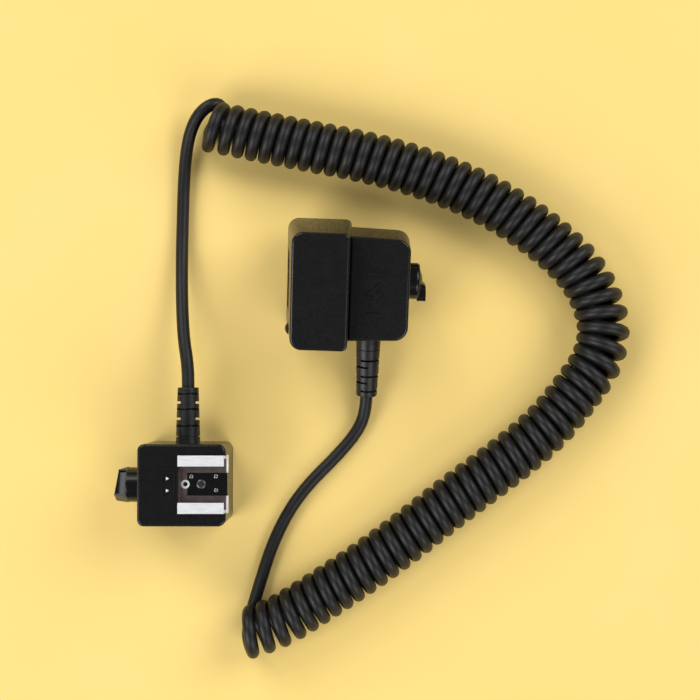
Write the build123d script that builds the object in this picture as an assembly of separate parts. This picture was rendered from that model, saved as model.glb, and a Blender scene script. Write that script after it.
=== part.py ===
from build123d import *
import math
import os

os.makedirs("parts", exist_ok=True)

# Off-camera flash cord: a flash-side head with an accessory shoe, a camera-side head with a
# shoe foot and a focus-assist lamp, and one cord with a long coiled stretch between them.
# Millimetres. +Z is up. The origin is the tripod socket's mouth under the flash-side head.

# ---- driving dimensions: common ----
WALL = 1.6                 # plastic wall
COVER = 2.0                # thickness of the covers under both heads
SHAFT_R = 1.5              # lock shafts
RUN_CLEARANCE = 0.05       # radial running clearance of shafts, pins and contacts
BUSH_R = 3.0
SCREW_HEAD_R = 1.9
SCREW_R = 0.98
PILOT_R = 1.0
BOSS_R = 2.2
CORD_R = 2.4
WIRE_R = 0.35

# ---- flash-side head ----
FLASH_W = 32.5             # along X
FLASH_D = 30.1             # along Y
FLASH_H = 30.5             # to the black top
FLASH_ROOF = 25.4          # underside of the roof
SHOE_Y = 0.3               # middle line of the shoe
RAIL_X0, RAIL_X1 = -1.3, 15.6
RAIL_TOP = 31.3
LIP_T = 1.2
LIP_GAP = 13.2
SLOT_W = 18.8
CHANNEL_W = 21.2
CHANNEL_Z0, CHANNEL_FLOOR = 27.0, 27.7
SPRING_T = 0.25
SPRING_X1 = 16.15
FLOOR_Z = CHANNEL_FLOOR + SPRING_T
BLOCK_X0, BLOCK_W = 1.9, 8.4
BLOCK_Z0, BLOCK_TOP = 24.2, 27.9
CENTER_CONTACT = (7.0, SHOE_Y, 1.95)
SMALL_CONTACTS = [(3.4, 3.15, 0.8), (12.4, 3.2, 0.8), (12.5, -1.9, 0.8)]
CONTACT_PROUD = 0.5
LOCK_HOLE = (1.2, SHOE_Y)
LOCK_BOLT_R = 0.8
FLASH_KNOB_Y, FLASH_KNOB_Z = -0.6, 15.5
FLASH_KNOB_R = 6.5
FLASH_KNOB_X = (-22.05, -16.85)
FLASH_WING_X = -26.5
FLASH_WING_TURN = -24.0
FLASH_BOLT_TRAVEL = 1.4
FLASH_BOLT_TOP = 27.2
FLASH_SCREWS = [(sx * 12.3, sy * 11.1) for sx in (-1, 1) for sy in (-1, 1)]
SOCKET_R, SOCKET_DEPTH = 2.6, 7.0

# ---- strain relief boots ----
BOOT_LEN = 20.8
BOOT_R0, BOOT_R1 = 4.6, 3.95
BOOT_NECK_R = 3.1
BOOT_BORE_R = 2.85         # what the slots and notches leave round the cord
BOOT_GROOVE = 18.4         # a fine ring groove, from the tip
BOOT_BANDS = (2.4, 8.2, 14.4)      # slots over the top and the bottom, from the tip
BOOT_NOTCHES = (5.7, 11.8)         # slots round both sides, from the tip
BOOT_SLOT = 0.45                   # half a slot's width
BAND_WEB, NOTCH_WEB = 1.1, 2.3     # half of what is left standing between two slots
BOOT_FLASH = (0.6, 15.0)   # x and z of its axis
BOOT_CAMERA = (-3.7, 15.0)
CAMERA_BOOT_ROOT = 3.7     # extra length at the camera-side boot's root
CAMERA_BOOT_TURN = -38.0   # its slots are turned about its axis

# ---- camera-side head, in its own frame: origin under the foot, foot level ----
CAMERA_AT = (73.07, 79.01, 3.04)
CAMERA_ROLL = 15.5         # it lies on the foot's edge and the front block's lower edge
CAMERA_YAW = -2.0
FRONT_X_TOP, FRONT_X_BOTTOM = -32.5, -35.7
JOIN_X, BACK_X = -11.45, 10.65
FRONT_HALF_D, REAR_HALF_D, BACK_HALF_D = 21.8, 19.6, 18.8
FRONT_Z0, FRONT_Z1 = 2.9, 37.0
REAR_Z0, REAR_Z1 = 6.5, 29.3
FOOT_L, FOOT_W, FOOT_T = 18.0, 18.5, 2.0
NECK_W = 12.3
LAMP_Z = 15.0
RELIEF_T = 0.45
PILOT_LENS = (-34.1, -17.2, 21.0)
PILOT_LENS_R = 2.3
CAMERA_KNOB_Y, CAMERA_KNOB_Z = 1.2, 15.0
CAMERA_KNOB_R = 6.8
CAMERA_KNOB_T = 4.0
FOOT_PINS = [(0.0, 0.0, 1.2), (-3.6, 2.55, 0.6), (5.4, 2.6, 0.6), (5.5, -2.5, 0.6)]
PIN_PROUD = 0.6
FRONT_SCREWS = [(-28.3, -17.5), (-28.3, 17.5), (-15.3, -18.0), (-15.3, 18.0)]
REAR_SCREWS = [(4.2, -15.6), (-7.2, 15.8), (7.0, 15.0)]
FOOT_SCREWS = [(-2.0, -4.0), (2.2, -4.4), (2.0, 4.4), (-7.2, 4.4)]
LOCK_PIN_X = -6.2
LOCK_PIN_TRAVEL = 1.6
CAM_R = 1.9
CAM_GAP = 0.4

CAMERA_WALL_Y = -19.34     # the wall where the camera-side boot seats
CAMERA_POSE = Pos(*CAMERA_AT) * Rot(0, 0, CAMERA_YAW) * Rot(CAMERA_ROLL, 0, 0)


# ---- helpers ----
def save(node, shape):
    shape.label = node
    export_step(shape, f"parts/{node}.step")


def save_camera(node, shape):
    save(node, CAMERA_POSE * shape)


def block(x, y, z):
    """A box from (low, high) pairs."""
    size = [high - low for low, high in (x, y, z)]
    middle = [(high + low) / 2 for low, high in (x, y, z)]
    return Pos(*middle) * Box(*size)


def post(x, y, z0, z1, r):
    return Pos(x, y, (z0 + z1) / 2) * Cylinder(r, z1 - z0)


def rod_x(x0, x1, y, z, r):
    return Pos((x0 + x1) / 2, y, z) * Rot(0, 90, 0) * Cylinder(r, x1 - x0)


def rod_y(y0, y1, x, z, r):
    return Pos(x, (y0 + y1) / 2, z) * Rot(90, 0, 0) * Cylinder(r, y1 - y0)


def round_sides(shape, radius_low_x, radius_high_x):
    """Round the upright corners: one radius at the low-X end, one at the high-X end."""
    shape = fillet(shape.edges().filter_by(Axis.Z).group_by(Axis.X)[0], radius_low_x)
    return fillet(shape.edges().filter_by(Axis.Z).group_by(Axis.X)[-1], radius_high_x)


def screw(x, y, z0, length):
    """A pan-head screw whose head is at the bottom, with a cross recess."""
    head = post(x, y, z0, z0 + 0.9, SCREW_HEAD_R)
    recess = block((x - 1.1, x + 1.1), (y - 0.2, y + 0.2), (z0, z0 + 0.5))
    recess += block((x - 0.2, x + 0.2), (y - 1.1, y + 1.1), (z0, z0 + 0.5))
    return head - recess + post(x, y, z0 + 0.9, z0 + length, SCREW_R)


def cover_screws(places, cover_z, length):
    return Compound(children=[screw(x, y, cover_z + 0.1, length) for x, y in places])


def coil_spring(x, y, z0, z1, coil_r, wire_r, turns):
    """A compression spring standing on z0."""
    free = z1 - z0 - 2 * wire_r
    path = Helix(pitch=free / turns, height=free, radius=coil_r)
    section = Plane(path @ 0, z_dir=path % 0) * Circle(wire_r)
    return Pos(x, y, z0 + wire_r) * sweep(section, path=path)


def plunger(x, y, r, z0, z1, z_flange, flange_r):
    """A sprung contact with a domed tip at z1 and a flange at its foot."""
    body = post(x, y, z_flange, z1, r)
    body = fillet(body.edges().group_by(Axis.Z)[-1], 0.45 * r)
    return body + post(x, y, z0, z_flange, flange_r)


def boot(x, z, wall_y, direction, root, slot_turn):
    """A tapered strain relief along Y with pairs of slots, a neck and an inner flange."""
    length = BOOT_LEN + root
    outline = [(0, 0), (0, BOOT_R0), (length, BOOT_R1), (length, 0)]
    if root:
        outline.insert(2, (root, BOOT_R0))
    body = revolve(make_face(Polyline(*outline, close=True)), Axis.X)
    body = fillet(body.edges().group_by(Axis.X)[-1], 0.5)
    slots = [(at, 90, BAND_WEB) for at in BOOT_BANDS] + [(at, 0, NOTCH_WEB) for at in BOOT_NOTCHES]
    ring = Rot(0, 90, 0) * (Cylinder(6, 2 * BOOT_SLOT) - Cylinder(BOOT_BORE_R, 2 * BOOT_SLOT))
    for from_end, quarter, web in slots:
        slot = ring - block((-BOOT_SLOT, BOOT_SLOT), (-web, web), (-6, 6))
        body -= Pos(length - from_end, 0, 0) * Rot(quarter + slot_turn, 0, 0) * slot
    at = length - BOOT_GROOVE
    body -= Pos(at, 0, 0) * Rot(0, 90, 0) * (Cylinder(2 * BOOT_R0, 0.35) - Cylinder(BOOT_R1, 0.35))
    body += rod_x(-WALL - 0.2, 0, 0, 0, BOOT_NECK_R)
    body += rod_x(-WALL - 1.5, -WALL - 0.2, 0, 0, 4.2)
    body -= rod_x(-WALL - 1.5, length, 0, 0, CORD_R + RUN_CLEARANCE)
    return Pos(x, wall_y, z) * Rot(0, 0, 90 * direction) * body


def cord_grip(x, z, y0, y1):
    """A two-jaw clamp on the jacket, with its two small screws' lugs."""
    jaws = block((x - 4.2, x + 4.2), (min(y0, y1), max(y0, y1)), (z - 3.4, z + 3.4))
    jaws = fillet(jaws.edges().filter_by(Axis.Y), 0.8)
    jaws -= rod_y(min(y0, y1), max(y0, y1), x, z, CORD_R)
    return jaws - block((x - 4.2, x + 4.2), (min(y0, y1), max(y0, y1)), (z - 0.2, z + 0.2))


def wires(x, y0, y1, z0, z1, count):
    """Conductors from the cord's cut end to the underside of a board."""
    bundle = []
    for i in range(count):
        offset = i - (count - 1) / 2
        x0 = x + 0.85 * offset
        path = FilletPolyline((x0, y0, z0), (x0, y1, z0), (x + 1.5 * offset, y1, z1), radius=1.1)
        section = Plane(path @ 0, z_dir=path % 0) * Circle(WIRE_R)
        bundle.append(sweep(section, path=path))
    return Compound(children=bundle)


# ---- flash-side head ----
def flash_outline(z0, z1):
    body = block((-FLASH_W / 2, FLASH_W / 2), (-FLASH_D / 2, FLASH_D / 2), (z0, z1))
    return round_sides(body, 2.4, 3.0)


def flash_housing():
    body = flash_outline(COVER, FLASH_H)
    body = fillet(body.edges().group_by(Axis.Z)[-1], 1.0)
    inner_x, inner_y = FLASH_W / 2 - WALL, FLASH_D / 2 - WALL
    body -= block((-inner_x, inner_x), (-inner_y, inner_y), (COVER, FLASH_ROOF))
    for x, y in FLASH_SCREWS:
        body += post(x, y, COVER + 1.4, FLASH_ROOF, BOSS_R)
        body -= post(x, y, COVER + 1.4, COVER + 10, PILOT_R)
    rib = block((3.0, 4.4), (-7.0, 1.8), (12.5, FLASH_ROOF))
    body += rib - rod_x(3.0, 4.4, FLASH_KNOB_Y, FLASH_KNOB_Z, SHAFT_R + RUN_CLEARANCE)
    half_channel = CHANNEL_W / 2
    body -= block((RAIL_X0, 20), (SHOE_Y - half_channel, SHOE_Y + half_channel), (CHANNEL_Z0, 40))
    half_block = BLOCK_W / 2
    body -= block((BLOCK_X0, 20), (SHOE_Y - half_block, SHOE_Y + half_block), (BLOCK_Z0, 40))
    body -= post(*LOCK_HOLE, FLASH_ROOF - 1, 40, LOCK_BOLT_R + RUN_CLEARANCE)
    body -= rod_y(10, 20, *BOOT_FLASH, BOOT_NECK_R)
    body -= rod_x(-20, -12, FLASH_KNOB_Y, FLASH_KNOB_Z, BUSH_R)
    frame = RectangleRounded(5.0, 9.1, 1.1) - RectangleRounded(4.0, 8.1, 0.6)
    return body + Pos(-4.85, SHOE_Y, FLASH_H) * extrude(frame, 0.35)


def flash_cover():
    body = flash_outline(0, COVER)
    body = fillet(body.edges().group_by(Axis.Z)[0], 0.5)
    outer_x, outer_y = FLASH_W / 2 - WALL - 0.1, FLASH_D / 2 - WALL - 0.1
    rim = block((-outer_x, outer_x), (-outer_y, outer_y), (COVER, COVER + 1.2))
    body += rim - block((1 - outer_x, outer_x - 1), (1 - outer_y, outer_y - 1), (COVER, COVER + 1.2))
    body -= post(0, 0, 0, COVER, 4.4)
    for x, y in FLASH_SCREWS:
        body -= post(x, y, 0, 1.0, SCREW_HEAD_R + 0.1)
        body -= post(x, y, 0, COVER, PILOT_R + 0.1)
    return body


def tripod_socket():
    body = post(0, 0, 0, SOCKET_DEPTH + 1, 4.4) + post(0, 0, COVER, COVER + 1, 5.6)
    return body - post(0, 0, 0, SOCKET_DEPTH, SOCKET_R)


def shoe_channel():
    half, slot, gap = CHANNEL_W / 2, SLOT_W / 2, LIP_GAP / 2
    wall_x = FLASH_W / 2
    body = block((RAIL_X0, wall_x + 0.7), (-half, half), (CHANNEL_Z0, CHANNEL_FLOOR))
    body += block((wall_x, wall_x + 0.7), (-half, half), (CHANNEL_Z0 - 1.8, CHANNEL_FLOOR))
    bend = body.edges().filter_by(Axis.Y).sort_by(Axis.X)[-2:].sort_by(Axis.Z)[-1]
    body = fillet(bend, 0.6)
    for side in (-1, 1):
        low, high = sorted((side * slot, side * half))
        body += block((RAIL_X0, RAIL_X1), (low, high), (CHANNEL_Z0, RAIL_TOP))
        low, high = sorted((side * gap, side * half))
        lip = block((RAIL_X0, RAIL_X1), (low, high), (RAIL_TOP - LIP_T, RAIL_TOP))
        body += fillet(lip.edges().group_by(Axis.Z)[-1].filter_by(Axis.X), 0.25)
    body = Pos(0, SHOE_Y, 0) * body
    half_block = BLOCK_W / 2
    body -= block((BLOCK_X0, 20), (SHOE_Y - half_block, SHOE_Y + half_block), (20, 29))
    return body - post(*LOCK_HOLE, 20, 29, 1.6)


def shoe_spring():
    """The dark sheet on the channel's floor, with an upturned stop and a second leaf behind it."""
    slot = SLOT_W / 2 - 0.05
    body = block((RAIL_X0 + 0.05, SPRING_X1), (-slot, slot), (CHANNEL_FLOOR, FLOOR_Z))
    body += block((RAIL_X0 + 0.05, RAIL_X0 + 0.75), (-slot, slot), (CHANNEL_FLOOR, 29.6))
    leaf = block((RAIL_X0 + 0.75, LOCK_HOLE[0] + 0.25), (-slot, slot), (FLOOR_Z, FLOOR_Z + 0.2))
    body += chamfer(leaf.edges().group_by(Axis.X)[-1].sort_by(Axis.Z)[-1:], 0.12)
    body = Pos(0, SHOE_Y, 0) * body
    half_block = BLOCK_W / 2
    body -= block((BLOCK_X0, 20), (SHOE_Y - half_block, SHOE_Y + half_block), (20, 29))
    return body - post(*LOCK_HOLE, 20, 29, 1.6)


def contact_block():
    half = BLOCK_W / 2
    body = block((BLOCK_X0, FLASH_W / 2 + 0.4), (SHOE_Y - half, SHOE_Y + half), (BLOCK_Z0, BLOCK_TOP))
    body = fillet(body.edges().group_by(Axis.X)[-1].filter_by(Axis.Y), 0.4)
    body -= post(*LOCK_HOLE, 20, 29, 1.6)
    for x, y, r in [CENTER_CONTACT] + SMALL_CONTACTS:
        body -= post(x, y, 20, 29, r + RUN_CLEARANCE)
        body -= post(x, y, BLOCK_Z0, BLOCK_Z0 + 1.0, r + 0.3)
    for y in (SHOE_Y + 0.15, SHOE_Y - 2.2):
        groove_x = 9.4 if y > 0 else 13.6
        body -= block((groove_x, 15.8), (y - 0.12, y + 0.12), (BLOCK_TOP - 0.3, BLOCK_TOP))
    return body


def lock_ring():
    return post(*LOCK_HOLE, CHANNEL_Z0, FLOOR_Z + 0.1, 1.6) - post(*LOCK_HOLE, 20, 30, LOCK_BOLT_R + 0.05)


def index_marks():
    mark = Polygon((-0.45, -0.62), (0.62, 0), (-0.45, 0.62), align=None)
    return Compound(children=[Pos(-5.1, SHOE_Y + dy, FLASH_H) * extrude(mark, 0.12) for dy in (-2.2, 2.2)])


def flash_board():
    body = block((-9.5, 9.6), (-12.6, 11.7), (19, 20)) + block((9.6, 14.4), (-7.5, 8.0), (19, 20))
    body -= block((2.6, 4.6), (-7.2, 2.0), (19, 20))
    body -= post(*LOCK_HOLE, 19, 20, 1.6)
    chips = ((-5.5, 5.5, 5.0, 1.4), (-5.5, -6.0, 6.0, 1.2), (3.5, 9.0, 4.0, 2.0), (5.0, -9.0, 4.0, 1.0))
    for x, y, size, height in chips:
        body += block((x - size / 2, x + size / 2), (y - size / 2, y + size / 2), (20, 20 + height))
    return body


def contact_springs():
    springs = []
    for x, y, r in [CENTER_CONTACT] + SMALL_CONTACTS:
        springs.append(coil_spring(x, y, 20, BLOCK_Z0 - 0.1, 0.75 * r, 0.12, 5))
    return Compound(children=springs)


def lock_shaft(x_knob, x_cam, x_end, y, z, cam_side):
    """A lock shaft along X with its eccentric cam between x_cam and x_cam + 2."""
    cam = rod_x(x_cam, x_cam + 2, y + cam_side, z, CAM_R)
    low, high = sorted((x_knob, x_end))
    return rod_x(low, high, y, z, SHAFT_R) + cam


def flash_knob():
    x0, x1 = FLASH_KNOB_X
    drum = rod_x(x0, x1, 0, 0, FLASH_KNOB_R)
    drum = fillet(drum.edges().group_by(Axis.X)[0], 0.6)
    root, tip = x0 + 0.6, FLASH_WING_X
    outline = Polygon((root, 6.2), (tip + 1.0, 5.0), (tip, -5.4), (root, -6.2), align=None)
    wing = Pos(0, 0, -2.6) * extrude(outline, 5.2)
    wing = fillet(wing.edges().filter_by(Axis.Z).sort_by(Axis.X)[:2], 0.8)
    for side in (-1, 1):
        wing -= Pos(tip + 2.0, 0, side * 7.4) * Rot(90, 0, 0) * Cylinder(6.0, 9.4)
    body = drum + Rot(FLASH_WING_TURN, 0, 0) * wing
    shaft = lock_shaft(x1, -0.2, 4.4, 0, 0, -FLASH_BOLT_TRAVEL)
    return Pos(0, FLASH_KNOB_Y, FLASH_KNOB_Z) * (body + shaft)


def flash_bush():
    body = rod_x(-FLASH_W / 2, -12.6, FLASH_KNOB_Y, FLASH_KNOB_Z, BUSH_R)
    body += rod_x(-FLASH_W / 2 - 0.5, -FLASH_W / 2, FLASH_KNOB_Y, FLASH_KNOB_Z, 4.6)
    return body - rod_x(-20, -12, FLASH_KNOB_Y, FLASH_KNOB_Z, SHAFT_R + RUN_CLEARANCE)


def flash_bolt():
    foot = FLASH_KNOB_Z + CAM_R + CAM_GAP
    body = post(*LOCK_HOLE, foot, foot + 0.6, 1.4)
    return body + post(*LOCK_HOLE, foot + 0.6, FLASH_BOLT_TOP, LOCK_BOLT_R)


# ---- camera-side head ----
def front_solid(inset, z0, z1):
    """The front block's outer form, or its cavity when inset by a wall."""
    slope = (FRONT_X_BOTTOM - FRONT_X_TOP) / (FRONT_Z1 - FRONT_Z0)

    def front_x(z):
        return FRONT_X_TOP + slope * (FRONT_Z1 - z) + inset

    half, back = FRONT_HALF_D - inset, JOIN_X - inset
    side = Polygon((front_x(z0), z0), (back, z0), (back, z1), (front_x(z1), z1), align=None)
    body = Pos(0, half, 0) * extrude(Plane.XZ * side, 2 * half)
    upright = body.edges().filter_by(lambda edge: abs(edge.tangent_at(0.5).Z) > 0.9)
    body = fillet(upright.sort_by(Axis.X)[:2], 4.2 - inset)
    upright = body.edges().filter_by(Axis.Z)
    return fillet(upright.group_by(Axis.X)[-1], max(2.3 - inset, 0.7))


def lamp_opening(grow):
    return block((-40, -25), (-11 - grow, 11 + grow), (LAMP_Z - 6 - grow, LAMP_Z + 6 + grow))


def front_shell():
    body = front_solid(0, FRONT_Z0 + COVER, FRONT_Z1)
    body = fillet(body.edges().group_by(Axis.Z)[-1], 1.0)
    body -= front_solid(WALL, FRONT_Z0 + COVER, FRONT_Z1 - WALL)
    for x, y in FRONT_SCREWS:
        body += post(x, y, FRONT_Z0 + COVER + 1.4, FRONT_Z1 - WALL, BOSS_R)
        body -= post(x, y, FRONT_Z0 + COVER, FRONT_Z0 + COVER + 9, PILOT_R)
    body -= lamp_opening(0)
    body -= block((JOIN_X - 3, JOIN_X + 1), (-5, 5), (22.5, 26.5))
    return body - rod_x(-40, -28, *PILOT_LENS[1:], PILOT_LENS_R)


def front_cover():
    body = front_solid(0, FRONT_Z0, FRONT_Z0 + COVER)
    body = fillet(body.edges().group_by(Axis.Z)[0], 0.6)
    for x, y in FRONT_SCREWS:
        body -= post(x, y, 0, FRONT_Z0 + 1.0, SCREW_HEAD_R + 0.1)
        body -= post(x, y, 0, FRONT_Z0 + COVER, PILOT_R + 0.1)
    return body


def lamp_window():
    wall = front_solid(0.25, FRONT_Z0 + COVER, FRONT_Z1) - front_solid(WALL, 0, FRONT_Z1 + 1)
    return wall & lamp_opening(-0.02)


def lamp_lens():
    """The condenser lens: flat towards the window, domed towards the lamp."""
    disc = rod_x(-30.6, -29.0, 0, LAMP_Z, 5.4)
    dome = Pos(-29.0, 0, LAMP_Z) * Sphere(5.0)
    return disc + (dome & block((-29.0, -20), (-8, 8), (5, 25)))


def lamp_emitter():
    body = rod_x(-22.4, -19.4, 0, LAMP_Z, 2.5) + rod_x(-20.4, -19.4, 0, LAMP_Z, 2.9)
    body += Pos(-22.4, 0, LAMP_Z) * Sphere(0.9)
    for y in (-1.27, 1.27):
        body += rod_x(-19.4, -16.8, y, LAMP_Z, 0.3)
    return body


def lamp_board():
    body = block((-19.4, -18.4), (-9, 9), (8, 24))
    for y in (-1.27, 1.27):
        body -= rod_x(-19.4, -18.4, y, LAMP_Z, 0.3)
    return body + block((-18.4, -16.6), (3.5, 7.5), (10, 16))


def pilot_lens():
    x, y, z, r = *PILOT_LENS, PILOT_LENS_R
    dome = Pos(x + 1.6, y, z) * Sphere(r + 0.4)
    return rod_x(x, x + 3.6, y, z, r) + (dome & block((x - 2, x), (y - r, y + r), (z - r, z + r)))


def rear_solid(inset, z0, z1):
    front, back = JOIN_X + inset, BACK_X - inset
    side, end = REAR_HALF_D - inset, BACK_HALF_D - inset
    plan = Polygon((front, -side), (back, -end), (back, end), (front, side), align=None)
    body = Pos(0, 0, z0) * extrude(plan, z1 - z0)
    upright = body.edges().filter_by(Axis.Z)
    return fillet(upright.group_by(Axis.X)[-1], 5.0 - inset)


def rear_shell():
    body = rear_solid(0, REAR_Z0 + COVER, REAR_Z1)
    body = fillet(body.edges().group_by(Axis.Z)[-1], 1.0)
    body -= rear_solid(WALL, REAR_Z0 + COVER, REAR_Z1 - WALL)
    for x, y in REAR_SCREWS:
        body += post(x, y, REAR_Z0 + COVER + 0.4, REAR_Z1 - WALL, BOSS_R - 0.3)
        body -= post(x, y, REAR_Z0 + COVER, REAR_Z0 + COVER + 8, PILOT_R)
    body += block((JOIN_X + WALL, -8.1), (-3, 4), (12.5, REAR_Z1 - WALL))
    body -= rod_x(JOIN_X + WALL, -8.1, CAMERA_KNOB_Y, CAMERA_KNOB_Z, SHAFT_R + RUN_CLEARANCE)
    body -= block((JOIN_X - 1, -8.0), (-5, 5), (22.5, 26.5))
    body -= rod_y(-25, -15, *BOOT_CAMERA, BOOT_NECK_R)
    body -= rod_y(-25, CAMERA_WALL_Y, *BOOT_CAMERA, BOOT_R0 + 0.1)
    body -= rod_x(5, 20, CAMERA_KNOB_Y, CAMERA_KNOB_Z, BUSH_R)
    return body


def rear_cover():
    body = rear_solid(0, REAR_Z0, REAR_Z0 + COVER)
    body = fillet(body.edges().group_by(Axis.Z)[0], 0.6)
    for x, y in REAR_SCREWS:
        body -= post(x, y, 0, REAR_Z0 + 1.0, SCREW_HEAD_R + 0.1)
        body -= post(x, y, 0, REAR_Z0 + COVER, PILOT_R + 0.1)
    for x, y, r in FOOT_PINS + [(LOCK_PIN_X, 0, LOCK_BOLT_R)]:
        body -= post(x, y, 0, REAR_Z0 + COVER, r + RUN_CLEARANCE)
    return body


def foot_neck():
    body = block((-FOOT_L / 2, FOOT_L / 2), (-NECK_W / 2, NECK_W / 2), (FOOT_T, REAR_Z0))
    for x, y, r in FOOT_PINS + [(LOCK_PIN_X, 0, LOCK_BOLT_R)]:
        body -= post(x, y, 0, REAR_Z0, r + RUN_CLEARANCE)
    for x, y in FOOT_SCREWS:
        body -= post(x, y, 0, REAR_Z0, PILOT_R)
    return body


def shoe_foot():
    body = block((-FOOT_L / 2, FOOT_L / 2), (-FOOT_W / 2, FOOT_W / 2), (0, FOOT_T))
    body = fillet(body.edges().filter_by(Axis.Z), 1.0)
    body = chamfer(body.edges().group_by(Axis.Z)[0], 0.3)
    for x, y, r in FOOT_PINS + [(LOCK_PIN_X, 0, LOCK_BOLT_R)]:
        body -= post(x, y, 0, FOOT_T, r + RUN_CLEARANCE)
    for x, y in FOOT_SCREWS:
        body -= post(x, y, 0, 0.9, SCREW_HEAD_R - 0.3)
        body -= post(x, y, 0, FOOT_T, PILOT_R)
    return body


def foot_screws():
    screws = []
    for x, y in FOOT_SCREWS:
        body = post(x, y, 0.1, 0.9, SCREW_HEAD_R - 0.4) + post(x, y, 0.9, 5.5, SCREW_R)
        screws.append(body - block((x - 1.0, x + 1.0), (y - 0.2, y + 0.2), (0.1, 0.5)))
    return Compound(children=screws)


def foot_pin(x, y, r):
    top = REAR_Z0 + COVER
    body = post(x, y, -PIN_PROUD, top + 0.02, r)
    body = fillet(body.edges().group_by(Axis.Z)[0], 0.6 * r)
    return body + post(x, y, top + 0.02, top + 0.7, r + 0.35)


def pin_springs():
    z0, z1 = REAR_Z0 + COVER + 0.7, 12.0
    return Compound(children=[coil_spring(x, y, z0, z1, 0.75 * r, 0.1, 4) for x, y, r in FOOT_PINS])


def pin_retainer():
    body = block((-4.4, 6.9), (-4.6, 4.6), (12.0, 13.2))
    for y in (-4.1, 4.1):
        body += block((0.4, 2.6), (y - 0.5, y + 0.5), (REAR_Z0 + COVER, 12.0))
    return body


def lock_pin():
    top = CAMERA_KNOB_Z - CAM_R - CAM_GAP
    body = post(LOCK_PIN_X, 0, 0.3, top - 0.6, LOCK_BOLT_R)
    body = fillet(body.edges().group_by(Axis.Z)[0], 0.3)
    return body + post(LOCK_PIN_X, 0, top - 0.6, top, 1.6)


def lock_pin_spring():
    top = CAMERA_KNOB_Z - CAM_R - CAM_GAP - 0.6
    return coil_spring(LOCK_PIN_X, 0, REAR_Z0 + COVER, top, 1.2, 0.15, 4)


def camera_lever():
    x0 = BACK_X + 0.3
    x1 = BACK_X + CAMERA_KNOB_T
    drum = rod_x(x0, x1, 0, 0, CAMERA_KNOB_R)
    drum = fillet(drum.edges().group_by(Axis.X)[-1], 1.3)
    crown = ThreePointArc((x1 + 1.1, 0), (x1 + 0.82, 2.3), (x1, 4.4))
    sides = Polyline((x1, 4.4), (x1 - 0.5, 4.4), (x1 - 0.5, 0), (x1 + 1.1, 0))
    drum += revolve(make_face([*crown.edges(), *sides.edges()]), Axis.X)
    tab = block((x1 - 0.8, x1 + 2.3), (-7.4, -0.6), (-2.7, 2.7))
    tab = fillet(tab.edges().filter_by(Axis.X).group_by(Axis.Y)[0], 1.6)
    tab = fillet(tab.edges().group_by(Axis.X)[-1].sort_by(Axis.Y)[-1], 1.2)
    for z in (-1.4, 0, 1.4):
        tab += block((x1 + 1.5, x1 + 2.5), (-7.2, -3.4), (z - 0.3, z + 0.3))
    shaft = lock_shaft(x0, LOCK_PIN_X - 1, -8.1, 0, 0, LOCK_PIN_TRAVEL)
    return Pos(0, CAMERA_KNOB_Y, CAMERA_KNOB_Z) * (drum + tab + shaft)


def camera_bush():
    body = rod_x(BACK_X - 3.6, BACK_X, CAMERA_KNOB_Y, CAMERA_KNOB_Z, BUSH_R)
    body += rod_x(BACK_X, BACK_X + 0.2, CAMERA_KNOB_Y, CAMERA_KNOB_Z, 4.4)
    return body - rod_x(5, 20, CAMERA_KNOB_Y, CAMERA_KNOB_Z, SHAFT_R + RUN_CLEARANCE)


def camera_board():
    body = block((-8.9, 8.6), (-12.9, 12.9), (19.5, 20.5))
    body -= block((-9, -7.9), (-3.2, 4.2), (19.5, 20.5))
    chips = ((-3.0, 6.0, 6.0, 1.5), (4.0, -6.0, 5.0, 1.2), (-4.0, -7.5, 4.0, 2.0), (5.0, 7.0, 3.0, 1.0))
    for x, y, size, height in chips:
        body += block((x - size / 2, x + size / 2), (y - size / 2, y + size / 2), (20.5, 20.5 + height))
    return body


def lamp_wires():
    """Two leads from the main board through the window between the two blocks."""
    pair = []
    for y in (-1.5, 1.5):
        path = FilletPolyline((-7.0, y, 20.5), (-7.0, y, 24.5), (-17.4, y, 24.5), (-17.4, y, 16.0), radius=1.2)
        section = Plane(path @ 0, z_dir=path % 0) * Circle(WIRE_R)
        pair.append(sweep(section, path=path))
    return Compound(children=pair)


def top_relief():
    """A plain raised flash bolt between two bars, in place of any lettering."""
    bolt = Polygon((2.0, 4.2), (-2.8, -0.8), (-0.3, -0.8), (-2.0, -5.2), (2.9, 0.4), (0.4, 0.4), align=None)
    marks = extrude(bolt, RELIEF_T)
    for y in (-8.2, 7.2):
        marks += Pos(0, y, RELIEF_T / 2) * Box(5.6, 1.0, RELIEF_T)
    return Pos(-2.2, -1.0, REAR_Z1) * marks


# ---- the cord: straight leads and the fat outer form of the coiled stretch ----
LEAD_FLASH = [
    (0.6, 35.85, 15.0), (0.6, 43.5, 15.0), (-1.3, 53.0, 12.8), (-2.4, 64.0, 9.4), (-3.1, 75.9, 5.8),
    (-3.4, 88.4, 3.2), (-3.2, 101.0, 2.4), (-2.9, 113.0, 2.7), (-2.1, 123.5, 4.0), (-0.6, 131.8, 6.3),
    (3.1, 138.7, 8.6), (9.6, 143.1, 10.2), (17.3, 144.3, 10.2),
]
COIL = [
    (8.3, 135.4, 10.0), (39.1, 129.1, 10.0), (70.2, 123.3, 10.0), (94.9, 115.8, 10.0), (115.6, 106.6, 10.0),
    (133.4, 94.9, 10.0), (147.7, 82.3, 10.0), (155.0, 70.7, 10.0), (158.3, 58.2, 10.0), (155.6, 45.7, 10.0),
    (147.3, 34.1, 10.0), (136.6, 20.9, 10.0), (120.9, 7.9, 10.0), (101.2, -6.3, 10.0), (74.6, -27.1, 10.0),
    (47.0, -45.3, 10.0), (32.2, -54.3, 10.0), (22.5, -56.9, 10.0),
]
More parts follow.
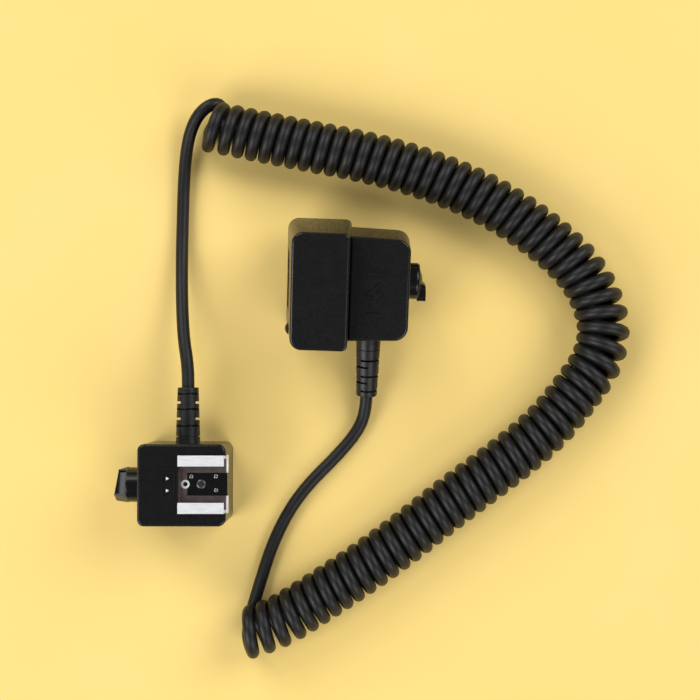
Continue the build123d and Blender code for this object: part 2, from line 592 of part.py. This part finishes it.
LEAD_CAMERA = [
    (67.75, 32.91, 5.78), (67.5, 26.3, 3.96), (64.0, 18.3, 2.6), (55.6, 8.7, 2.4), (45.4, -1.2, 2.4),
    (37.5, -12.0, 2.4), (31.2, -25.3, 2.4), (26.7, -39.9, 2.4), (24.4, -51.5, 2.5),
]
COIL_R = 10.0


def route_radii(points):
    radii = []
    for a, b, c in zip(points, points[1:], points[2:]):
        arriving, leaving = Vector(b) - Vector(a), Vector(c) - Vector(b)
        half_turn = math.radians(arriving.get_angle(leaving)) / 2
        radii.append(0.45 * min(arriving.length, leaving.length) / math.tan(half_turn))
    return radii


def cord_tube(name, points, r):
    radii = route_radii(points)
    path = FilletPolyline(*points, radius=radii)
    tube = sweep(Plane(path @ 0, z_dir=path % 0) * Circle(r), path=path)
    expected = math.pi * r * r * path.length
    print(name, "length", round(path.length, 1), "radii", [round(value, 1) for value in radii])
    print(name, "volume over section x length", round(tube.volume / expected, 4))
    return tube


# ---- write every node ----
save("flash_housing", flash_housing())
save("flash_base_cover", flash_cover())
save("flash_cover_screws", cover_screws(FLASH_SCREWS, 0, 7.0))
save("tripod_socket", tripod_socket())
save("shoe_channel", shoe_channel())
save("shoe_spring", shoe_spring())
save("contact_block", contact_block())
save("lock_hole_ring", lock_ring())
save("index_marks", index_marks())
save("flash_circuit_board", flash_board())
save("contact_springs", contact_springs())
for number, (cx, cy, cr) in enumerate([CENTER_CONTACT] + SMALL_CONTACTS):
    node = "shoe_center_contact" if number == 0 else f"shoe_contact_{number}"
    rise = CONTACT_PROUD if number == 0 else 0.4
    save(node, plunger(cx, cy, cr, BLOCK_Z0 - 0.1, BLOCK_TOP + rise, BLOCK_Z0 + 0.95, cr + 0.25))
save("flash_lock_knob", flash_knob())
save("flash_lock_bush", flash_bush())
save("flash_lock_bolt", flash_bolt())
save("flash_boot", boot(*BOOT_FLASH, FLASH_D / 2, 1, 0, 0))
save("flash_cord_grip", cord_grip(*BOOT_FLASH, 8.9, 11.9))
save("flash_cord_tail", rod_y(8.9, FLASH_D / 2 + BOOT_LEN, *BOOT_FLASH, CORD_R))
save("flash_wires", wires(BOOT_FLASH[0], 8.9, 5.6, BOOT_FLASH[1], 18.9, 5))

save_camera("front_shell", front_shell())
save_camera("front_bottom_cover", front_cover())
save_camera("front_cover_screws", cover_screws(FRONT_SCREWS, FRONT_Z0, 7.0))
save_camera("assist_lamp_window", lamp_window())
save_camera("assist_lamp_lens", lamp_lens())
save_camera("assist_lamp_emitter", lamp_emitter())
save_camera("assist_lamp_board", lamp_board())
save_camera("pilot_lens", pilot_lens())
save_camera("rear_shell", rear_shell())
save_camera("rear_bottom_cover", rear_cover())
save_camera("rear_cover_screws", cover_screws(REAR_SCREWS, REAR_Z0, 6.5))
save_camera("foot_neck", foot_neck())
save_camera("shoe_foot", shoe_foot())
save_camera("foot_screws", foot_screws())
for number, (px, py, pr) in enumerate(FOOT_PINS):
    node = "foot_center_pin" if number == 0 else f"foot_pin_{number}"
    save_camera(node, foot_pin(px, py, pr))
save_camera("foot_pin_springs", pin_springs())
save_camera("foot_pin_retainer", pin_retainer())
save_camera("camera_lock_pin", lock_pin())
save_camera("camera_lock_spring", lock_pin_spring())
save_camera("camera_lock_lever", camera_lever())
save_camera("camera_lock_bush", camera_bush())
save_camera("camera_circuit_board", camera_board())
save_camera("lamp_wires", lamp_wires())
save_camera("top_relief", top_relief())
CAMERA_BOOT_END = CAMERA_WALL_Y - BOOT_LEN - CAMERA_BOOT_ROOT
save_camera("camera_boot", boot(*BOOT_CAMERA, CAMERA_WALL_Y, -1, CAMERA_BOOT_ROOT, CAMERA_BOOT_TURN))
save_camera("camera_cord_grip", cord_grip(*BOOT_CAMERA, CAMERA_WALL_Y + 6.2, CAMERA_WALL_Y + 3.2))
save_camera("camera_cord_tail", rod_y(CAMERA_BOOT_END, CAMERA_WALL_Y + 6.2, *BOOT_CAMERA, CORD_R))
save_camera("camera_wires", wires(BOOT_CAMERA[0], CAMERA_WALL_Y + 6.2, -9.6, BOOT_CAMERA[1], 19.4, 5))

save("cord_lead_flash", cord_tube("flash lead", LEAD_FLASH, CORD_R))
save("cord_coil", cord_tube("coil", COIL, COIL_R))
save("cord_lead_camera", cord_tube("camera lead", LEAD_CAMERA, CORD_R))
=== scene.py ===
import math

import bpy
from mathutils import Matrix, Vector


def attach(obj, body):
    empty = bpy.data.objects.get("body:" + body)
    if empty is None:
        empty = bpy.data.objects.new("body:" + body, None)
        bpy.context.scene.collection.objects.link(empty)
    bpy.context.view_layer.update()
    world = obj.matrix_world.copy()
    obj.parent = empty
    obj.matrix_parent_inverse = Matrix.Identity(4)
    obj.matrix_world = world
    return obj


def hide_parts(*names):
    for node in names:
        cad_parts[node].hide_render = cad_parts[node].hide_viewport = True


# An off-camera flash cord: two black heads joined by one cord with a long coiled stretch.
# Metres, +Z up, the origin at the tripod socket under the flash-side head.

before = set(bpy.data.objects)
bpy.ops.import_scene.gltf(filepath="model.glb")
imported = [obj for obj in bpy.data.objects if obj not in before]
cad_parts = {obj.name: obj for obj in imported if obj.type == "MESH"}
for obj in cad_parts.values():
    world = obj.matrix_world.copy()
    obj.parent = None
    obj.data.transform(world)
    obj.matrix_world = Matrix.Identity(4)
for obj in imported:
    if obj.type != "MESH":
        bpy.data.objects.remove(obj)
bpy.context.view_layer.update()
MM = 0.001

# ---- the cord ----
CORD_R = 2.4 * MM
COIL_R = 7.6 * MM             # from the coil's axis to the cord's centre
TURN_POINTS = 16              # control points to a turn
TURNS = 67.8
FIRST_PHASE = 1.5 * math.pi   # the helix starts under its axis, where the lead dives below the first turn
BEND_OPENING = 5.7 * MM       # the pitch grows by this over the bend's radius
LOOSE_START, LOOSE_START_RUN = 0.40, 6 * MM    # extra pitch at the coil's start, fading over this run
LOOSE_END, LOOSE_END_RUN = 0.14, 7 * MM

LEAD_FLASH = [
    (0.6, 35.85, 15.0), (0.6, 43.5, 15.0), (-1.3, 53.0, 12.8), (-2.4, 64.0, 9.4), (-3.1, 75.9, 5.8),
    (-3.4, 88.4, 3.2), (-3.2, 101.0, 2.4), (-2.9, 113.0, 2.7), (-2.1, 123.5, 4.0), (-0.6, 131.8, 6.3),
    (2.1, 138.1, 9.0), (5.6, 142.0, 10.8), (9.3, 144.1, 10.9), (11.9, 144.1, 8.8), (12.2, 142.3, 5.4),
    (11.2, 139.3, 3.2),
]
COIL = [
    (7.2, 135.7, 10.0), (39.1, 129.1, 10.0), (70.2, 123.3, 10.0), (94.9, 115.8, 10.0), (115.6, 106.6, 10.0),
    (133.4, 94.9, 10.0), (147.7, 82.3, 10.0), (155.0, 70.7, 10.0), (158.3, 58.2, 10.0), (155.6, 45.7, 10.0),
    (147.3, 34.1, 10.0), (136.6, 20.9, 10.0), (120.9, 7.9, 10.0), (101.2, -6.3, 10.0), (74.6, -27.1, 10.0),
    (47.0, -45.3, 10.0), (32.2, -54.3, 10.0), (22.5, -56.9, 10.0),
]
LEAD_CAMERA = [
    (67.75, 32.91, 5.78), (67.5, 26.3, 3.96), (64.0, 18.3, 2.6), (55.6, 8.7, 2.4), (45.4, -1.2, 2.4),
    (37.5, -12.0, 2.4), (31.2, -25.3, 2.4), (26.7, -39.9, 2.4), (23.7, -49.9, 2.4), (22.2, -57.5, 2.4),
    (22.8, -61.7, 3.8),
]


def in_metres(points):
    return [Vector(point) * MM for point in points]


def nurbs(name, points):
    """A curve with one smooth open spline."""
    data = bpy.data.curves.new(name, "CURVE")
    data.dimensions = "3D"
    spline = data.splines.new("NURBS")
    spline.points.add(len(points) - 1)
    for point, place in zip(spline.points, points):
        point.co = (*place, 1)
    spline.order_u = 3
    spline.use_endpoint_u = True
    obj = bpy.data.objects.new(name, data)
    bpy.context.collection.objects.link(obj)
    return obj


def line_along(points):
    """Closely spaced points on a route's smooth line."""
    curve = nurbs("route", points)
    curve.data.resolution_u = 64
    mesh = bpy.data.meshes.new_from_object(curve)
    line = [vertex.co.copy() for vertex in mesh.vertices]
    bpy.data.objects.remove(curve)
    bpy.data.meshes.remove(mesh)
    return line


def coil_turns(axis):
    """Control points of the coil's turns, TURN_POINTS to a turn, round a level axis."""
    steps = [b - a for a, b in zip(axis, axis[1:])]
    length = sum(step.length for step in steps)
    phases, travelled = [0.0], 0.0
    for before, step in zip([steps[0]] + steps, steps):
        travelled += step.length
        bend = before.angle(step) / step.length
        loose = LOOSE_START * math.exp(-travelled / LOOSE_START_RUN)
        loose += LOOSE_END * math.exp((travelled - length) / LOOSE_END_RUN)
        phases.append(phases[-1] + step.length / ((1 + BEND_OPENING * bend) * (1 + loose)))
    scale = TURNS / phases[-1]
    out_to_control = COIL_R / math.cos(math.pi / TURN_POINTS)
    turns, wanted = [], 0.0
    for i, step in enumerate(steps):
        here, there = phases[i] * scale, phases[i + 1] * scale
        while wanted <= there + 1e-9 and wanted <= TURNS:
            place = axis[i] + step * ((wanted - here) / (there - here))
            side = Vector((-step.y, step.x, 0)).normalized()
            angle = FIRST_PHASE + 2 * math.pi * wanted
            around = Vector((0, 0, 1)) * math.sin(angle) - side * math.cos(angle)
            turns.append(place + out_to_control * around)
            wanted += 1 / TURN_POINTS
    return turns


def make_cord(material):
    turns = coil_turns(line_along(in_metres(COIL)))
    points = in_metres(LEAD_FLASH) + turns + in_metres(reversed(LEAD_CAMERA))
    cord = nurbs("coiled_cord", points)
    cord.data.resolution_u = 3
    cord.data.bevel_mode = "ROUND"
    cord.data.bevel_depth = CORD_R
    cord.data.bevel_resolution = 6
    cord.data.use_fill_caps = True
    cord.data.materials.append(material)
    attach(cord, "root")
    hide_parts("cord_lead_flash", "cord_coil", "cord_lead_camera")
    line = line_along(points)
    return cord


# ---- materials ----
class Look:
    """A Principled material being built, with its nodes wired by short calls."""

    def __init__(self, name, **sockets):
        self.material = bpy.data.materials.new(name)
        self.material.use_nodes = True
        self.tree = self.material.node_tree
        self.shader = self.tree.nodes["Principled BSDF"]
        self.place = self.node("ShaderNodeTexCoord").outputs["Object"]
        for socket, value in sockets.items():
            self.shader.inputs[socket.replace("_", " ")].default_value = value

    def node(self, kind, **values):
        node = self.tree.nodes.new(kind)
        for key, value in values.items():
            if key in node.inputs:
                self.set(node.inputs[key], value)
            else:
                setattr(node, key, value)
        return node

    def set(self, socket, value):
        if isinstance(value, bpy.types.NodeSocket):
            self.tree.links.new(value, socket)
        else:
            socket.default_value = value

    def noise(self, size, detail=3.0, stretch=(1, 1, 1)):
        """A noise whose features are about `size` metres across."""
        mapping = self.node("ShaderNodeMapping", Vector=self.place)
        mapping.inputs["Scale"].default_value = stretch
        texture = self.node("ShaderNodeTexNoise", Vector=mapping.outputs[0])
        texture.inputs["Scale"].default_value = 1 / size
        texture.inputs["Detail"].default_value = detail
        texture.inputs["Roughness"].default_value = 0.55
        return texture.outputs["Fac"]

    def ramp(self, value, low, high, to_low=0.0, to_high=1.0):
        node = self.node("ShaderNodeMapRange")
        node.clamp = True
        for socket, number in zip(node.inputs, (value, low, high, to_low, to_high)):
            self.set(socket, number)
        return node.outputs[0]

    def edges(self, radius):
        """1 on convex and concave edges, 0 on open faces."""
        soft = self.node("ShaderNodeBevel", samples=6)
        soft.inputs["Radius"].default_value = radius
        flat = self.node("ShaderNodeNewGeometry").outputs["Normal"]
        turn = self.node("ShaderNodeVectorMath", operation="DOT_PRODUCT")
        self.set(turn.inputs[0], soft.outputs[0])
        self.set(turn.inputs[1], flat)
        return self.ramp(turn.outputs["Value"], 0.98, 0.75)

    def mix(self, factor, first, second):
        node = self.node("ShaderNodeMix", data_type="RGBA")
        self.set(node.inputs["Factor"], factor)
        colours = [socket for socket in node.inputs if socket.type == "RGBA"]
        for socket, colour in zip(colours, (first, second)):
            self.set(socket, colour if isinstance(colour, bpy.types.NodeSocket) else (*colour, 1))
        return [socket for socket in node.outputs if socket.type == "RGBA"][0]

    def math(self, operation, *values):
        node = self.node("ShaderNodeMath", operation=operation)
        for socket, value in zip(node.inputs, values):
            self.set(socket, value)
        return node.outputs[0]

    def colour(self, socket):
        self.set(self.shader.inputs["Base Color"], socket)

    def roughness(self, socket):
        self.set(self.shader.inputs["Roughness"], socket)

    def bump(self, height, depth):
        node = self.node("ShaderNodeBump", Height=height, Distance=depth)
        self.set(self.shader.inputs["Normal"], node.outputs["Normal"])


def moulded(name, shade, roughness, grain=0.15 * MM, depth=0.0015 * MM, worn=0.6):
    """Spark-textured black moulding: fine grain, faint mottling, edges rubbed brighter and smoother."""
    look = Look(name, Specular_IOR_Level=0.36)
    dark = (shade, shade, 1.12 * shade)
    light = [1.6 * value for value in dark]
    mottle = look.noise(4 * MM, 4)
    edge = look.math("MULTIPLY", look.edges(0.45 * MM), look.ramp(look.noise(1.5 * MM), 0.35, 0.65, 0.4, 1.0))
    base = look.mix(look.ramp(mottle, 0.3, 0.7), dark, light)
    rubbed = [5 * value for value in light]
    look.colour(look.mix(look.math("MULTIPLY", edge, worn), base, rubbed))
    rough = look.ramp(look.noise(0.8 * MM, 3), 0.3, 0.7, roughness - 0.04, roughness + 0.05)
    look.roughness(look.math("SUBTRACT", rough, look.math("MULTIPLY", edge, 0.1)))
    look.bump(look.noise(grain, 2), depth)
    return look.material


def cord_jacket():
    """Smooth black jacket with a dry bloom and a faint fine grain."""
    look = Look("cord_jacket", Specular_IOR_Level=0.38)
    bloom = look.noise(6 * MM, 5)
    fine = look.noise(0.5 * MM, 3)
    look.colour(look.mix(look.ramp(bloom, 0.35, 0.7), (0.0036, 0.0036, 0.0038), (0.0068, 0.0066, 0.0066)))
    look.roughness(look.ramp(fine, 0.3, 0.7, 0.40, 0.52))
    look.bump(look.noise(0.25 * MM, 3), 0.012 * MM)
    return look.material


def metal(name, base, tint, roughness, stretch=(1, 1, 1), grain=0.3 * MM):
    """Drawn or plated metal: streaks along the least stretched way, with a slightly darker bloom."""
    look = Look(name, Metallic=1.0)
    streaks = look.noise(grain, 3, stretch)
    bloom = look.noise(2.5 * MM, 4)
    look.colour(look.mix(look.ramp(bloom, 0.3, 0.75), base, tint))
    look.roughness(look.ramp(streaks, 0.25, 0.75, roughness - 0.07, roughness + 0.1))
    look.bump(streaks, 0.004 * MM)
    return look.material


def flat_finish(name, dark, light, roughness, size=1.0 * MM, depth=0.01 * MM):
    look = Look(name)
    look.colour(look.mix(look.ramp(look.noise(size, 4), 0.3, 0.7), dark, light))
    look.roughness(look.ramp(look.noise(size / 3, 3), 0.3, 0.7, roughness - 0.05, roughness + 0.05))
    look.bump(look.noise(size / 5, 2), depth)
    return look.material


def window(name, colour, roughness, seen_through):
    """Tinted polished plastic that shows a little of what is behind it."""
    look = Look(name, Transmission_Weight=seen_through, IOR=1.49)
    lighter = [min(1.0, 1.3 * value) for value in colour]
    look.colour(look.mix(look.ramp(look.noise(3 * MM, 3), 0.3, 0.7), colour, lighter))
    look.roughness(look.ramp(look.noise(1 * MM, 3), 0.3, 0.7, roughness, roughness + 0.06))
    return look.material


LOOKS = {
    "shell": moulded("shell_plastic", 0.0044, 0.27),
    "cover": moulded("cover_plastic", 0.008, 0.42, 0.18 * MM, 0.008 * MM),
    "knob": moulded("knob_plastic", 0.005, 0.22, 0.2 * MM, 0.003 * MM),
    "boot": moulded("boot_rubber", 0.007, 0.40, 0.2 * MM, 0.008 * MM, 0.7),
    "block": moulded("contact_plastic", 0.003, 0.24, 0.1 * MM),
    "rail": metal("rail_steel", (0.95, 0.96, 0.98), (0.88, 0.89, 0.91), 0.55, (0.08, 1, 1)),
    "spring_steel": metal("spring_steel", (0.30, 0.23, 0.22), (0.20, 0.16, 0.155), 0.36, (0.1, 1, 1)),
    "contact": metal("contact_metal", (0.50, 0.50, 0.49), (0.30, 0.29, 0.27), 0.26, grain=0.5 * MM),
    "ring": metal("bright_ring", (0.97, 0.97, 0.97), (0.88, 0.88, 0.89), 0.5),
    "dark_contact": metal("worn_contact", (0.16, 0.16, 0.17), (0.07, 0.07, 0.075), 0.34, grain=0.6 * MM),
    "wire_steel": metal("spring_wire", (0.60, 0.60, 0.62), (0.5, 0.5, 0.52), 0.25),
    "brass": metal("brass", (0.72, 0.56, 0.28), (0.60, 0.44, 0.20), 0.32),
    "screw": metal("black_zinc", (0.05, 0.05, 0.055), (0.03, 0.03, 0.034), 0.42),
    "foot": metal("foot_steel", (0.55, 0.55, 0.56), (0.44, 0.44, 0.45), 0.33, (0.08, 1, 1)),
    "board": flat_finish("solder_mask", (0.012, 0.09, 0.03), (0.02, 0.13, 0.05), 0.35),
    "wires": flat_finish("wire_insulation", (0.35, 0.02, 0.02), (0.45, 0.04, 0.03), 0.4),
    "ink": flat_finish("white_ink", (0.72, 0.72, 0.71), (0.82, 0.82, 0.81), 0.5, 0.4 * MM, 0.004 * MM),
    "window": window("red_window", (0.16, 0.006, 0.010), 0.05, 0.6),
    "lens": window("clear_lens", (0.75, 0.75, 0.76), 0.03, 0.9),
    "pilot": window("pilot_glass", (0.022, 0.016, 0.013), 0.10, 0.3),
    "cord": cord_jacket(),
}
NODE_LOOKS = {
    "shell": ["flash_housing", "front_shell", "rear_shell", "top_relief"],
    "cover": [
        "flash_base_cover", "front_bottom_cover", "rear_bottom_cover", "foot_neck", "foot_pin_retainer",
        "flash_cord_grip", "camera_cord_grip", "flash_lock_bush", "camera_lock_bush",
    ],
    "knob": ["flash_lock_knob", "camera_lock_lever"],
    "boot": ["flash_boot", "camera_boot"],
    "block": ["contact_block"],
    "rail": ["shoe_channel"],
    "spring_steel": ["shoe_spring"],
    "contact": [
        "shoe_contact_1", "shoe_contact_2", "shoe_contact_3", "foot_center_pin",
        "foot_pin_1", "foot_pin_2", "foot_pin_3",
    ],
    "ring": ["lock_hole_ring"],
    "dark_contact": ["shoe_center_contact"],
    "wire_steel": ["contact_springs", "foot_pin_springs", "camera_lock_spring"],
    "brass": ["tripod_socket", "camera_lock_pin"],
    "screw": [
        "flash_lock_bolt", "flash_cover_screws", "front_cover_screws", "rear_cover_screws", "foot_screws",
    ],
    "foot": ["shoe_foot"],
    "board": ["flash_circuit_board", "camera_circuit_board", "assist_lamp_board", "assist_lamp_emitter"],
    "wires": ["flash_wires", "camera_wires", "lamp_wires"],
    "ink": ["index_marks"],
    "window": ["assist_lamp_window"],
    "lens": ["assist_lamp_lens"],
    "pilot": ["pilot_lens"],
    "cord": ["cord_lead_flash", "cord_coil", "cord_lead_camera", "flash_cord_tail", "camera_cord_tail"],
}


def paint_frame():
    for look, nodes in NODE_LOOKS.items():
        for node in nodes:
            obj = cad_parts[node]
            obj.data.materials.clear()
            obj.data.materials.append(LOOKS[look])
    missing = set(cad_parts) - {node for nodes in NODE_LOOKS.values() for node in nodes}
    if missing:
        print("nodes with no look:", sorted(missing))


# ---- stage ----
def make_floor():
    bpy.ops.mesh.primitive_plane_add(size=6, location=(0.07, 0.05, -0.0001))
    floor = bpy.context.object
    floor.name = "floor"
    look = Look("pale_table", Specular_IOR_Level=0.2)
    patches = look.ramp(look.noise(80 * MM, 3), 0.3, 0.7)
    look.colour(look.mix(patches, (0.90, 0.655, 0.205), (0.92, 0.675, 0.23)))
    look.roughness(look.ramp(look.noise(5 * MM, 3), 0.3, 0.7, 0.6, 0.7))
    floor.data.materials.append(look.material)


LIGHT_SIZE = 1.0
LIGHT_AIM = (0.06, 0.04, 0)
SIDE_LIGHTS = [    # name, place, watts
    ("front_left", (-1.1, -0.7, 0.95), 18),
    ("back_right", (1.1, 0.7, 1.0), 13),
    ("back_left", (-0.7, 1.1, 1.0), 13),
    ("front_right", (0.8, -1.1, 0.95), 11),
]


def soft_light(name, place, power):
    data = bpy.data.lights.new(name, "AREA")
    data.shape = "RECTANGLE"
    data.size, data.size_y = LIGHT_SIZE, LIGHT_SIZE
    data.energy = power
    light = bpy.data.objects.new(name, data)
    light.location = place
    light.rotation_euler = (Vector(LIGHT_AIM) - Vector(place)).to_track_quat("-Z", "Y").to_euler()
    bpy.context.collection.objects.link(light)


CAMERA_PLACE = (0.0660, 0.0341, 0.560)
CAMERA_AIM = (0.0614, 0.05035, 0)
SENSOR, LENS = 36, 74.48


def make_camera():
    data = bpy.data.cameras.new("camera")
    data.sensor_width, data.lens = SENSOR, LENS
    camera = bpy.data.objects.new("camera", data)
    place = Vector(CAMERA_PLACE)
    ahead = (Vector(CAMERA_AIM) - place).normalized()
    picture_up = Vector((0, 1, 0))
    right = ahead.cross(picture_up).normalized()
    up = right.cross(ahead)
    camera.matrix_world = Matrix((right, up, -ahead)).transposed().to_4x4()
    camera.location = place
    data.clip_start, data.clip_end = 0.01, 20
    bpy.context.collection.objects.link(camera)
    bpy.context.scene.camera = camera


def make_world():
    world = bpy.data.worlds.new("room")
    world.use_nodes = True
    background = world.node_tree.nodes["Background"]
    background.inputs["Color"].default_value = (1, 1, 1, 1)
    background.inputs["Strength"].default_value = 0.10
    bpy.context.scene.world = world
    bpy.context.scene.view_settings.view_transform = "Standard"


make_camera()
make_floor()
make_world()
for name, place, power in SIDE_LIGHTS:
    soft_light(name, place, power)
paint_frame()
make_cord(LOOKS["cord"])
